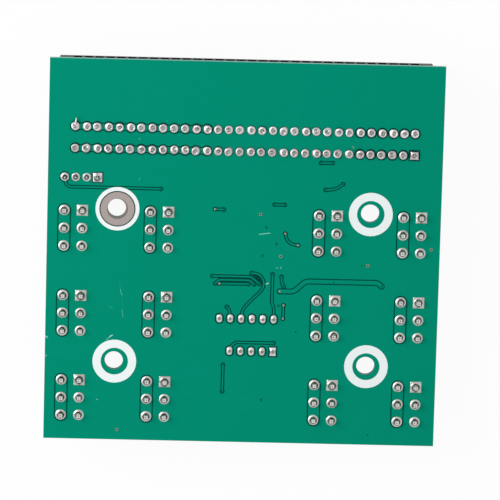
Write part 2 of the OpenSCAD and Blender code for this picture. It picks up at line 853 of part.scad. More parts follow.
module signal_header_base() {
    hole = signal_pin_w + 2 * fit_gap;
    color([0.1, 0.1, 0.11])
        translate([0, 0, part_face - signal_base_h])
            linear_extrude(signal_base_h)
                difference() {
                    for (i = [0:signal_ways - 1])
                        translate(signal_pin(i)) block_outline(pin_pitch, pin_pitch, signal_corner);
                    for (i = [0:signal_ways - 1]) translate(signal_pin(i)) square(hole, center = true);
                }
}

module signal_pins() {
    low = part_face - signal_base_h - signal_pin_out;
    color([0.86, 0.78, 0.45])
        for (i = [0:signal_ways - 1])
            translate([signal_pin(i)[0], signal_pin(i)[1], 0])
                square_pin(signal_pin_w, low, solder_face + signal_tail, signal_tip, signal_tip);
}

// ---- meter circuit on the component side ----

module meter_chip() {
    top = part_face - chip_stand;
    low = top - chip_body[2];
    mid = (top + low) / 2;
    y = chip_body[1] / 2;
    y_in = y - chip_draft;
    color([0.13, 0.13, 0.14])
        translate([meter_chip_centre[0], meter_chip_centre[1], 0])
            difference() {
                rotate([90, 0, 90])
                    linear_extrude(chip_body[0], center = true)
                        polygon([[-y, mid], [-y_in, low], [y_in, low], [y, mid], [y_in, top], [-y_in, top]]);
                // dimple that marks the first lead
                translate([chip_body[0] / 2 - chip_mark_in, -y + chip_mark_in, low])
                    cylinder(r = 0.4, h = 0.16, center = true);
            }
}

// Gull-wing lead from the chip's side down to the board, as a side view
function lead_line(root, reach, mid) = let (z = part_face - chip_lead_t / 2) [
    [root, mid], [root + 0.35, mid], [reach - 0.62, z - 0.02], [reach - 0.5, z], [reach, z]
];

module meter_chip_leads() {
    mid = part_face - chip_stand - chip_body[2] / 2;
    line = lead_line(chip_body[1] / 2, chip_lead_span / 2, mid);
    color([0.8, 0.79, 0.78])
        translate([meter_chip_centre[0], meter_chip_centre[1], 0])
            for (i = [0:chip_ways - 1], side = [0, 180])
                rotate(side)
                    translate([(i - (chip_ways - 1) / 2) * chip_pitch, 0, 0])
                        rotate([90, 0, 90])
                            linear_extrude(chip_lead_w, center = true) polygon(strip(line, chip_lead_t));
}

module regulator() {
    color([0.13, 0.13, 0.14])
        difference() {
            translate([regulator_centre[0], regulator_centre[1], part_face - regulator_size[2] / 2])
                cube(regulator_size, center = true);
            regulator_frame();
        }
}

// The tab and the three leads, flat on the board
module regulator_frame() {
    y = regulator_size[1] / 2;
    module lead(x, w, from, to) {
        translate([x - w / 2, from, -regulator_lead_t]) cube([w, to - from, regulator_lead_t]);
    }
    translate([regulator_centre[0], regulator_centre[1], part_face]) {
        lead(0, regulator_tab_w, -y, y + regulator_tab_out);
        lead(0, regulator_lead_w, -y - regulator_lead_out, -y);
        for (side = [-1, 1])
            lead(side * regulator_pitch, regulator_lead_w, -y - regulator_lead_out, -y + regulator_lead_in);
    }
}

module regulator_leads() {
    color([0.8, 0.79, 0.78]) regulator_frame();
}

module at_place(place) {
    translate([place[0], place[1], part_face]) rotate(place[2]) children();
}

module chip_block(t) {
    l = chip_size[0] - 2 * end_cap_l;
    translate([-l / 2, -chip_size[1] / 2, -t]) cube([l, chip_size[1], t]);
}

module resistors() {
    color([0.14, 0.14, 0.15]) for (place = resistor_places) at_place(place) chip_block(resistor_t);
}

module capacitors() {
    color([0.66, 0.53, 0.38]) for (place = capacitor_places) at_place(place) chip_block(capacitor_t);
}

module end_caps(t) {
    for (sx = [-1, 1])
        translate([sx * (chip_size[0] - end_cap_l) / 2, 0, -t / 2])
            cube([end_cap_l, chip_size[1], t], center = true);
}

module chip_end_caps() {
    color([0.8, 0.79, 0.78]) {
        for (place = resistor_places) at_place(place) end_caps(resistor_t);
        for (place = capacitor_places) at_place(place) end_caps(capacitor_t);
    }
}

circuit_board();
printed_rings();
ground_land();
tinned_vias();
slot_housing();
slot_contacts(1, near_row_y);  // slot_contacts_near
slot_contacts(-1, far_row_y);  // slot_contacts_far
slot_solder(near_row_y, false);  // slot_solder_near
slot_solder(far_row_y, true);  // slot_solder_far
for (i = [0:header_total - 1]) {
    power_header(i);
    power_pins(i);
}
power_solder(0);  // power_solder_row_1
power_solder(1);  // power_solder_row_2
power_solder(2);  // power_solder_row_3
display_case();
display_segments();
display_pins();
display_solder();
signal_header_base();
signal_pins();
signal_solder();
meter_chip();
meter_chip_leads();
regulator();
regulator_leads();
resistors();
capacitors();
chip_end_caps();
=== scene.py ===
"""Power supply breakout board, solder side up: finishes, solder joints, marks, light and camera."""

import logging
import math
import random
from dataclasses import dataclass
from enum import Enum
from typing import Any, Iterable, Sequence

import bpy
from mathutils import Matrix, Vector


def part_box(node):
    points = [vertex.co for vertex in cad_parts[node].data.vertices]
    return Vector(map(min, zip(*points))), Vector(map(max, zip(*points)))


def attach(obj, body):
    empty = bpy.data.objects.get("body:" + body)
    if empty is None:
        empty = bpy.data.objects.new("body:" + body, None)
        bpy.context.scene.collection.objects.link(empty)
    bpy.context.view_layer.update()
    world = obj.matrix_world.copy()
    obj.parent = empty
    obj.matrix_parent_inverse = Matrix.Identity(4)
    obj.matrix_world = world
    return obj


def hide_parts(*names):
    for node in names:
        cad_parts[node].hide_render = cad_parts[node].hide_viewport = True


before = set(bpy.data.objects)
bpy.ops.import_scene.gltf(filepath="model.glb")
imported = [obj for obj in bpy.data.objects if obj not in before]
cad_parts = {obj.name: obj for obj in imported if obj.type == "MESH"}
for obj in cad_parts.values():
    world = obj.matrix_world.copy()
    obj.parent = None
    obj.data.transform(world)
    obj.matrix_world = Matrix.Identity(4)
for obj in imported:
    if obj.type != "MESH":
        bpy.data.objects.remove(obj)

log = logging.getLogger("breakout_board")

MM = 0.001
BODY = "root"
BOARD = "circuit_board"
SEED = 11

# Pitches of the pins' grids, in millimetres, and how the power headers stand
POWER_PITCH = 4.2
PIN_PITCH = 2.54
HEADER_ROWS = 3
HEADER_COLUMNS = 4

# Sizes of the lands under the joints, in millimetres
SLOT_LAND = (2.06, 2.2)
SLOT_SQUARE = (2.1, 2.1)
POWER_LAND = (2.48, 2.48)
POWER_SQUARE = (2.6, 2.6)
DISPLAY_LAND = (1.6, 2.1)
SIGNAL_LAND = (2.04, 2.04)
SIGNAL_SQUARE = (2.1, 2.1)
# Part of a display land that the solder wets
DISPLAY_WETTED = (1.5, 2.06)

# Steepest angle between two faces that still shade as one surface
SMOOTH_ANGLE = math.radians(50)
# Distance from the middle that counts as none, in metres
HAIR = 1e-7

# A mix of colours: its two inputs, and what makes it one and picks its result
UNDER, OVER = 6, 7
COLOUR_MIX = {"out": 2, "data_type": "RGBA"}
WHITE = (1.0, 1.0, 1.0, 1.0)
# How the noise in every finish breaks up into finer blotches
NOISE = {"Detail": 3.0, "Roughness": 0.55}
BEVEL_SAMPLES = 6

Spot = tuple[float, float]
Place = tuple[float, float, float]


class Land(Enum):
    """Outline of the copper land under a solder joint."""

    ROUND = "round"
    SQUARE = "square"
    OVAL = "oval"


# ---- small helpers -------------------------------------------------------------------------------


def linear(hex_colour: str) -> tuple[float, float, float, float]:
    """Turn an sRGB colour into linear light.

    Args:
        hex_colour: the colour as "#rrggbb".

    Returns:
        Linear red, green, blue and an alpha of 1.
    """
    parts = [int(hex_colour[i:i + 2], 16) / 255 for i in (1, 3, 5)]
    light = [c / 12.92 if c <= 0.04045 else ((c + 0.055) / 1.055) ** 2.4 for c in parts]
    return (light[0], light[1], light[2], 1.0)


def low_mm(node: str) -> Vector:
    """Return the lowest corner of a CAD node, in millimetres."""
    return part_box(node)[0] / MM


def high_mm(node: str) -> Vector:
    """Return the highest corner of a CAD node, in millimetres."""
    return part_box(node)[1] / MM


def middle_mm(node: str) -> Vector:
    """Return the middle of a CAD node's box, in millimetres."""
    return (low_mm(node) + high_mm(node)) / 2


def deselect_all() -> None:
    """Leave object mode with nothing selected."""
    if bpy.context.object is not None and bpy.context.object.mode != "OBJECT":
        bpy.ops.object.mode_set(mode="OBJECT")
    bpy.ops.object.select_all(action="DESELECT")


def activate(piece: bpy.types.Object) -> None:
    """Select one object alone and make it the active one."""
    deselect_all()
    piece.select_set(True)
    bpy.context.view_layer.objects.active = piece


def join(pieces: Sequence[bpy.types.Object], name: str) -> bpy.types.Object:
    """Join pieces into one object.

    Args:
        pieces: the objects to join, all at the origin.
        name: the joined object's name.

    Returns:
        The joined object.
    """
    activate(pieces[0])
    for piece in pieces:
        piece.select_set(True)
    bpy.ops.object.join()
    joined = bpy.context.object
    joined.name = name
    joined.data.name = name
    return joined


def placed_copy(pattern: bpy.types.Object, at: Vector, turn: float) -> bpy.types.Object:
    """Copy a piece with a mesh of its own, and put the place into that mesh.

    Args:
        pattern: the piece to copy, modelled about the origin.
        at: where its origin goes, in metres.
        turn: its turn about the vertical, in radians.

    Returns:
        The copy, at the origin.
    """
    copy = pattern.copy()
    copy.data = pattern.data.copy()
    bpy.context.scene.collection.objects.link(copy)
    copy.data.transform(Matrix.Translation(at) @ Matrix.Rotation(turn, 4, "Z"))
    return copy


# ---- node graphs ---------------------------------------------------------------------------------


class Graph:
    """A material's or a world's node tree."""

    def __init__(self, tree: bpy.types.NodeTree) -> None:
        """Start from an empty tree."""
        tree.nodes.clear()
        self.tree = tree

    def add(
        self, kind: str, inputs: dict[str | int, Any] | None = None, out: str | int = 0, **settings: Any
    ) -> bpy.types.NodeSocket | None:
        """Add a node with its settings and links.

        Args:
            kind: the node's type, without "ShaderNode" in front.
            inputs: values for its sockets, or output sockets to link to them.
            out: the output to return, by name or number.
            settings: properties to set on the node.

        Returns:
            The output that was asked for, or None where the node has no outputs.
        """
        node = self.tree.nodes.new("ShaderNode" + kind)
        for name, value in settings.items():
            setattr(node, name, value)
        for name, value in (inputs or {}).items():
            if isinstance(value, bpy.types.NodeSocket):
                self.tree.links.new(value, node.inputs[name])
            else:
                node.inputs[name].default_value = value
        return node.outputs[out] if node.outputs else None


# ---- finishes ------------------------------------------------------------------------------------


@dataclass(frozen=True)
class Finish:
    """A material with one colour, a fine variation of it, and a fine bump."""

    name: str
    shade: str
    roughness: float
    metallic: float = 0.0
    specular: float = 0.5
    tint: str = "#ffffff"
    # How far the colour varies, as a share, and the size of that pattern in millimetres
    mottle: float = 0.04
    mottle_mm: float = 2.0
    # How far the roughness varies, and the size of that pattern as a share of the mottle's
    rough_change: float = 0.05
    rough_share: float = 0.6
    # Depth and size of the bump, in millimetres
    bump: float = 0.0
    bump_mm: float = 0.3
    # Radius that softens sharp edges, in millimetres
    edge: float = 0.0

    def make(self) -> bpy.types.Material:
        """Build the material.

        Returns:
            The material, with its shader linked up.
        """
        material = bpy.data.materials.new(self.name)
        material.use_nodes = True
        graph = Graph(material.node_tree)
        look = {
            "Base Color": self.colour(graph),
            "Metallic": self.metallic,
            "Roughness": self.sheen(graph),
            "Specular IOR Level": self.specular,
            "Specular Tint": linear(self.tint),
            **self.relief(graph),
        }
        graph.add("OutputMaterial", {"Surface": graph.add("BsdfPrincipled", look)})
        return material

    def blotches(self, graph: Graph, size_mm: float) -> bpy.types.NodeSocket:
        """Make soft noise.

        Args:
            graph: the material's graph.
            size_mm: how far its blotches are about across, in millimetres.

        Returns:
            The noise, from 0 to 1.
        """
        place = graph.add("TexCoord", out="Object")
        return graph.add("TexNoise", {"Vector": place, "Scale": 1 / (size_mm * MM), **NOISE}, "Fac")

    def colour(self, graph: Graph) -> bpy.types.NodeSocket:
        """Colour the finish.

        Args:
            graph: the material's graph.

        Returns:
            The base colour with its mottle.
        """
        base = Vector(linear(self.shade)[:3])
        dark = (*(base * (1 - self.mottle)), 1.0)
        light = (*(base * (1 + self.mottle)), 1.0)
        share = self.blotches(graph, self.mottle_mm)
        return graph.add("Mix", {0: share, UNDER: dark, OVER: light}, **COLOUR_MIX)

    def sheen(self, graph: Graph) -> bpy.types.NodeSocket:
        """Set how rough the finish is.

        Args:
            graph: the material's graph.

        Returns:
            The roughness with its variation.
        """
        share = self.blotches(graph, self.mottle_mm * self.rough_share)
        low, high = self.roughness - self.rough_change, self.roughness + self.rough_change
        return graph.add("MapRange", {"Value": share, "To Min": low, "To Max": high})

    def relief(self, graph: Graph) -> dict[str, bpy.types.NodeSocket]:
        """Soften the edges and raise the bump.

        Args:
            graph: the material's graph.

        Returns:
            The shader's normal, or nothing if the finish has neither.
        """
        normal = {}
        if self.edge:
            normal = {"Normal": graph.add("Bevel", {"Radius": self.edge * MM}, samples=BEVEL_SAMPLES)}
        if self.bump:
            height = self.blotches(graph, self.bump_mm)
            raised = {"Height": height, "Distance": self.bump * MM, **normal}
            normal = {"Normal": graph.add("Bump", raised)}
        return normal


@dataclass(frozen=True)
class Mark:
    """A scratch, speck or bare patch on the board's solder side, between two points in millimetres."""

    start: Spot
    end: Spot
    width: float
    colour: str
    strength: float
    # Share of the half width over which its edge fades, inwards and outwards
    fade: float = 0.4

    def lay(self, graph: Graph, below: bpy.types.NodeSocket) -> bpy.types.NodeSocket:
        """Lay the mark over a colour.

        Args:
            graph: the material's graph.
            below: the colour under the mark.

        Returns:
            The colour with the mark on it.
        """
        face = high_mm(BOARD).z
        start = Vector((*self.start, face)) * MM
        run = Vector((*self.end, face)) * MM - start
        place = graph.add("TexCoord", out="Object")
        away = graph.add("VectorMath", {0: place, 1: start}, operation="SUBTRACT")
        along = graph.add("VectorMath", {0: away, 1: run}, "Value", operation="DOT_PRODUCT")
        share = graph.add("MapRange", {"Value": along, "From Max": run.length_squared})
        foot = graph.add("VectorMath", {0: run, "Scale": share}, operation="SCALE")
        gap = graph.add("VectorMath", {0: away, 1: foot}, "Value", operation="DISTANCE")
        half = self.width * MM / 2
        outer, inner = half * (1 + self.fade), half * (1 - self.fade)
        limits = {"Value": gap, "From Min": outer, "From Max": inner, "To Max": self.strength}
        cover = graph.add("MapRange", limits)
        return graph.add("Mix", {0: cover, UNDER: below, OVER: linear(self.colour)}, **COLOUR_MIX)


# How far a round mark runs, in millimetres
DOT_RUN = 0.01
# Smudges where the mask has sunk over the covered vias
SMUDGES = tuple(
    Mark(at, (at[0] + DOT_RUN, at[1]), 0.85, "#04705c", 0.6)
    for at in ((5.22, 6.35), (7.65, 2.44), (4.47, -0.42), (8.55, -12.2), (5.1, -34.75))
)
# Bare copper between the grounded hole's land and its wall
GROUND_HOLE = (-29.69, 10.16)
GROUND_PATCH = Mark(GROUND_HOLE, (GROUND_HOLE[0] + DOT_RUN, GROUND_HOLE[1]), 6.0, "#7d746f", 1.0, fade=0.05)
# These, and the scratches and specks of everyday handling
MASK_MARKS = (GROUND_PATCH,) + SMUDGES + (
    Mark((3.63, 4.67), (6.1, 5.04), 0.16, "#8fd8c4", 0.85),
    Mark((-28.75, -7.2), (-28.3, -9.55), 0.1, "#2fa98a", 0.4),
    Mark((-28.5, -9.2), (-28.1, -10.45), 0.14, "#6fc8ae", 0.6),
    Mark((-28.1, -10.5), (-27.95, -13.9), 0.08, "#2fa98a", 0.4),
    Mark((-27.95, -13.9), (-27.79, -15.72), 0.12, "#6fc8ae", 0.5),
    Mark((-31.1, -13.2), (-30.3, -13.7), 0.3, "#2fa98a", 0.35),
    Mark((-24.62, 17.3), (-24.6, 16.85), 0.2, "#4fb79c", 0.5),
    Mark((-31.53, -21.18), (-30.6, -20.35), 0.16, "#8fd0bf", 0.6),
    Mark((-30.7, -20.4), (-30.14, -20.03), 0.24, "#b4e0d4", 0.8),
    Mark((-45.8, -20.6), (-45.35, -20.9), 0.26, "#b4e0d4", 0.7),
    Mark((-45.8, -25.5), (-45.45, -25.1), 0.18, "#8fd0bf", 0.6),
    Mark((5.45, -7.1), (6.0, -6.85), 0.2, "#b4e0d4", 0.9),
    Mark((-33.48, -35.5), (-33.38, -35.5), 0.24, "#8fd0bf", 0.6),
    Mark((-24.8, 26.51), (-24.74, 26.51), 0.2, "#9ad8c6", 0.6),
    Mark((32.84, 28.62), (32.9, 28.62), 0.2, "#8fd0bf", 0.5),
    Mark((24.7, 25.9), (25.0, 25.45), 0.2, "#a89a4c", 0.6),
    Mark((7.75, -3.2), (8.15, -3.2), 0.12, "#7fd0c0", 0.8),
    Mark((8.85, -3.3), (8.85, -2.95), 0.16, "#7fd0c0", 0.8),
)


@dataclass(frozen=True)
class SolderMask(Finish):
    """Green mask over copper, dark where a gap in the copper shows, with painted shade on the hole walls and
    in the open vias, and laminate on the cut edges.
    """

    # Walls of the gaps in their own dark green, walls of the holes with painted shade, and the board's cut
    # edge
    gap_and_hole_wall_shade: str = "#05352f"
    laminate: str = "#6aa89e"
    # What lies deeper than so many millimetres: a gap, the dip in a covered via, and an open via, whose
    # near-black floor is painted shade
    depths: tuple[tuple[float, str], ...] = ((0.03, "#053d36"), (0.08, "#046352"), (0.2, "#04211d"))
    # Upright share of the normal up to which a face counts as a wall
    wall_limit: float = 0.5
    # How far in from the board's outline a wall still counts as its cut edge
    edge_reach: float = 0.1

    def colour(self, graph: Graph) -> bpy.types.NodeSocket:
        """Colour the board.

        Args:
            graph: the material's graph.

        Returns:
            Mask green on the faces, dark green in the gaps, painted shade in the open vias and on the hole
            walls, and laminate on the cut edges.
        """
        face = super().colour(graph)
        for mark in MASK_MARKS:
            face = mark.lay(graph, face)
        up = graph.add("SeparateXYZ", {0: graph.add("NewGeometry", out="Normal")}, "Z")
        wall = graph.add("Math", {0: up, 1: 0.0, 2: self.wall_limit}, operation="COMPARE")
        level = graph.add("SeparateXYZ", {0: graph.add("TexCoord", out="Object")}, "Z")
        floor = graph.add("Math", {0: up, 1: self.wall_limit}, operation="GREATER_THAN")
        for depth, shade in self.depths:
            top = (high_mm(BOARD).z - depth) * MM
            sunk = graph.add("Math", {0: level, 1: top}, operation="LESS_THAN")
            share = graph.add("Math", {0: floor, 1: sunk}, operation="MULTIPLY")
            face = graph.add("Mix", {0: share, UNDER: face, OVER: linear(shade)}, **COLOUR_MIX)
        # Upright faces: dark green on the gaps' walls, painted shade on the hole walls
        face = graph.add("Mix", {0: wall, UNDER: face, OVER: linear(self.gap_and_hole_wall_shade)}, **COLOUR_MIX)
        edge = graph.add("Math", {0: wall, 1: self.near_outline(graph)}, operation="MULTIPLY")
        return graph.add("Mix", {0: edge, UNDER: face, OVER: linear(self.laminate)}, **COLOUR_MIX)

    def near_outline(self, graph: Graph) -> bpy.types.NodeSocket:
        """Find the board's outline.

        Args:
            graph: the material's graph.

        Returns:
            1 at the outline and 0 elsewhere.
        """
        corner = high_mm(BOARD)
        place = graph.add("TexCoord", out="Object")
        near = []
        for axis, half in (("X", corner.x), ("Y", corner.y)):
            away = graph.add("Math", {0: graph.add("SeparateXYZ", {0: place}, axis)}, operation="ABSOLUTE")
            limit = (half - self.edge_reach) * MM
            near.append(graph.add("Math", {0: away, 1: limit}, operation="GREATER_THAN"))
        return graph.add("Math", {0: near[0], 1: near[1]}, operation="MAXIMUM")


@dataclass(frozen=True)
class Solder(Finish):
    """Bright solder with painted reflection of the green mask and the dark room, and painted shade, on its
    steep fillets.
    """

    # Painted shade and reflection on the steep slopes, on the darker and on the lighter side
    painted_steep_shade: str = "#233a2f"
    painted_lit_side_shade: str = "#6f7c75"
    # Upright share of the normal at which the painted shade is full, and at which it has gone
    steep: float = 0.45
    gentle: float = 0.84
    # How far those shares wander over one joint, and the size of that pattern in millimetres
    wander: float = 0.2
    wander_mm: float = 0.5
    # Direction of the painted light, which the lighter side of a fillet faces, and the share of it at which
    # that side is lightest
    painted_light_side: Place = (-0.75, -0.6, 0.0)
    light_share: float = 0.8

    def colour(self, graph: Graph) -> bpy.types.NodeSocket:
        """Colour the solder.

        Args:
            graph: the material's graph.

        Returns:
            Bright solder on gentle slopes, and painted shade and reflection in green-grey on steep ones.
        """
        bright = super().colour(graph)
        normal = graph.add("NewGeometry", out="Normal")
        toward = graph.add("VectorMath", {0: normal, 1: self.painted_light_side}, "Value", operation="DOT_PRODUCT")
        limits = {"From Min": -self.light_share, "From Max": self.light_share}
        side = graph.add("MapRange", {"Value": toward, **limits})
        # Painted shade and reflection: darker away from the painted light, lighter toward it
        ends = {UNDER: linear(self.painted_steep_shade), OVER: linear(self.painted_lit_side_shade)}
        painted_fillet_shade = graph.add("Mix", {0: side, **ends}, **COLOUR_MIX)
        noise = self.blotches(graph, self.wander_mm)
        uneven = graph.add("MapRange", {"Value": noise, "To Min": -self.wander, "To Max": self.wander})
        up = graph.add("SeparateXYZ", {0: normal}, "Z")
        upright = graph.add("Math", {0: up, 1: uneven}, operation="ADD")
        painted_shade_share = graph.add("MapRange", {"Value": upright, "From Min": self.gentle, "From Max": self.steep})
        return graph.add("Mix", {0: painted_shade_share, UNDER: bright, OVER: painted_fillet_shade}, **COLOUR_MIX)


@dataclass(frozen=True)
class PlatedPin(Finish):
    """Plated pin with a painted highlight on its level ends and painted shade on the chamfers round them."""

    # Painted highlight on the level end, and painted shade on the chamfers
    end: str = "#f4f2f0"
    painted_chamfer_shade: str = "#5d6a63"
    # Upright share of the normal from which a face counts as a chamfer, and as the end
    chamfer_from: float = 0.3
    end_from: float = 0.95

    def colour(self, graph: Graph) -> bpy.types.NodeSocket:
        """Colour the pin.

        Args:
            graph: the material's graph.

        Returns:
            The plating, with a painted highlight on level faces and painted shade on slanting ones.
        """
        up = graph.add("SeparateXYZ", {0: graph.add("NewGeometry", out="Normal")}, "Z")
        level = graph.add("Math", {0: up}, operation="ABSOLUTE")
        colour = super().colour(graph)
        for limit, over in ((self.chamfer_from, self.painted_chamfer_shade), (self.end_from, self.end)):
            share = graph.add("Math", {0: level, 1: limit}, operation="GREATER_THAN")
            colour = graph.add("Mix", {0: share, UNDER: colour, OVER: linear(over)}, **COLOUR_MIX)
        return colour


@dataclass(frozen=True)
class ContactStrip(Finish):
    """Contact that is gold-plated in the slot and tinned at its tail."""

    tail: str = "#bdb8b3"

    def colour(self, graph: Graph) -> bpy.types.NodeSocket:
        """Colour the contact.

        Args:
            graph: the material's graph.

        Returns:
            Gold inside the slot housing and tin behind it.
        """
        place = graph.add("SeparateXYZ", {0: graph.add("TexCoord", out="Object")}, "Y")
        behind = graph.add("Math", {0: place, 1: low_mm("slot_housing").y * MM}, operation="LESS_THAN")
        gold = super().colour(graph)
        return graph.add("Mix", {0: behind, UNDER: gold, OVER: linear(self.tail)}, **COLOUR_MIX)


# How unevenly solder flows: from joint to joint, and over one joint
SOLDER_FLOW = {"mottle": 0.45, "mottle_mm": 2.2, "bump": 0.07, "bump_mm": 0.6}

FINISHES: dict[str, Finish] = {
    finish.name: finish
    for finish in (
        # Semi-gloss mask with a faint flow mottle
        SolderMask("green_solder_mask", "#02876d", 0.42, tint="#028d72", mottle=0.03, mottle_mm=3.0),
        # Thick white ink, slightly grainy from the screen
        Finish("white_screen_ink", "#e8f0f0", 0.6, mottle=0.02, mottle_mm=1.0, bump=0.01),
        # Bare land that the tin left thin and grey
        Finish("tinned_copper_land", "#a89d98", 0.5, metallic=0.6, mottle=0.05, mottle_mm=0.8, bump=0.01),
        # Small lands, greyer still
        Finish("tinned_via_land", "#8e8c82", 0.55, metallic=0.6, mottle=0.08, mottle_mm=0.4, bump=0.01),
        # Bright tin-lead solder with uneven flow
        Solder("tin_lead_solder", "#d0cdce", 0.36, metallic=1.0, **SOLDER_FLOW),
        # The same, a little greyer, on the far row
        Solder("greyed_tin_lead_solder", "#c0bdbd", 0.38, metallic=1.0, **SOLDER_FLOW),
        # The same, darker on the power pins, with a greener painted reflection of the mask in the steep
        # fillets
        Solder(
            "dull_tin_lead_solder", "#bdb9b6", 0.4, metallic=1.0, **SOLDER_FLOW,
            painted_steep_shade="#1d4536", painted_lit_side_shade="#638371",
        ),
        # The same again round the thin display pins, with the lighter painted shade on the flank toward +X
        Solder(
            "display_tin_lead_solder", "#d2cfcd", 0.4, metallic=1.0, **SOLDER_FLOW,
            painted_steep_shade="#6f7c75", painted_lit_side_shade="#d4d6d5", painted_light_side=(0.8, -0.3, 0.0),
        ),
        # Tin over brass, polished by the drawing die
        PlatedPin("tin_plated_brass", "#e2dbd6", 0.3, metallic=1.0, mottle=0.05, mottle_mm=0.6),
        # Dull brass where a pin was sheared off
        Finish("sheared_brass_core", "#6e5650", 0.5, metallic=0.8, mottle=0.15, mottle_mm=0.2),
        # Display pins, browned by flux
        Finish("fluxed_copper_pin", "#928880", 0.45, metallic=0.8, mottle=0.15, mottle_mm=0.4),
        # Gold flash over phosphor bronze
        ContactStrip("gold_plated_bronze", "#d8b25e", 0.28, metallic=1.0, mottle=0.04, mottle_mm=0.8),
        # Moulded polyester with a fine moulding grain
        Finish("black_slot_polyester", "#1a1a1c", 0.45, specular=0.15, mottle_mm=1.2, bump=0.01, edge=0.12),
        # Moulded nylon, a little duller
        Finish("black_header_nylon", "#19191b", 0.42, mottle=0.06, mottle_mm=1.2, bump=0.015, edge=0.15),
        # Display shell, spark-eroded texture
        Finish("black_display_case", "#202022", 0.5, mottle=0.05, mottle_mm=1.0, bump=0.01, edge=0.15),
        # Milky cast epoxy
        Finish("display_diffuser", "#dcd8cc", 0.45, mottle=0.03, mottle_mm=0.8),
        # Chip epoxy with visible filler grain
        Finish("chip_epoxy", "#242426", 0.6, mottle=0.08, mottle_mm=0.3, bump=0.02, bump_mm=0.15, edge=0.06),
        # Glassy resistor coat
        Finish("resistor_glaze", "#1b1b1e", 0.3, mottle=0.05, mottle_mm=0.5, edge=0.05),
        # Fired ceramic with a fine grain
        Finish("capacitor_ceramic", "#a98864", 0.4, mottle=0.05, mottle_mm=0.3, edge=0.05),
    )
}

NODE_FINISHES: dict[str, str] = {
    "circuit_board": "green_solder_mask",
    "printed_rings": "white_screen_ink",
    "ground_land": "tinned_copper_land",
    "tinned_vias": "tinned_via_land",
    "slot_housing": "black_slot_polyester",
    "slot_contacts": "gold_plated_bronze",
    "slot_solder_near": "tin_lead_solder",
    "slot_solder_far": "greyed_tin_lead_solder",
    "power_header": "black_header_nylon",
    "power_pins": "tin_plated_brass",
    "power_solder": "dull_tin_lead_solder",
    "display_case": "black_display_case",
    "display_segments": "display_diffuser",
    "display_pins": "fluxed_copper_pin",
    "display_solder": "display_tin_lead_solder",
    "signal_header_base": "black_header_nylon",
    "signal_pins": "tin_plated_brass",
    "signal_solder": "tin_lead_solder",
    "meter_chip_leads": "tin_plated_brass",
    "meter_chip": "chip_epoxy",
    "regulator_leads": "tin_plated_brass",
    "regulator": "chip_epoxy",
    "resistors": "resistor_glaze",
    "capacitors": "capacitor_ceramic",
    "chip_end_caps": "tin_plated_brass",
}


def finish_of(node: str) -> str:
    """Return the finish of a carried-over node, by the longest name that its own name starts with."""
    found = [start for start in NODE_FINISHES if node.startswith(start)]
    return NODE_FINISHES[max(found, key=len)]


class FinishShelf:
    """Makes each finish once and hands it out by name."""

    def __init__(self) -> None:
        """Start with an empty shelf."""
        self.made: dict[str, bpy.types.Material] = {}

    def get(self, name: str) -> bpy.types.Material:
        """Find a material, and make it at its first use.

        Args:
            name: the finish's name.

        Returns:
            The material.
        """
        if name not in self.made:
            self.made[name] = FINISHES[name].make()
        return self.made[name]

    def dress(self, piece: bpy.types.Object, name: str) -> None:
        """Give every face of a piece one finish, and report the piece.

        Args:
            piece: the piece.
            name: the finish's name.
        """
        material = self.get(name)
        if not piece.material_slots:
            piece.data.materials.append(material)
        for slot in piece.material_slots:
            slot.material = material
        log.info("%s: %s", piece.name, name)

    def dress_frame(self) -> None:
        """Give each carried-over node its finish."""
        for name, piece in sorted(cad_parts.items()):
            self.dress(piece, finish_of(name))


# ---- solder joints -------------------------------------------------------------------------------


@dataclass(frozen=True)
class Level:
    """One level of a joint's surface, from the land up to the pin.

    reach is its size as a share of the land's, height is in millimetres above the board, and
    roundness draws the land's outline toward a circle.
    """

    reach: float
    height: float
    roundness: float = 0.0


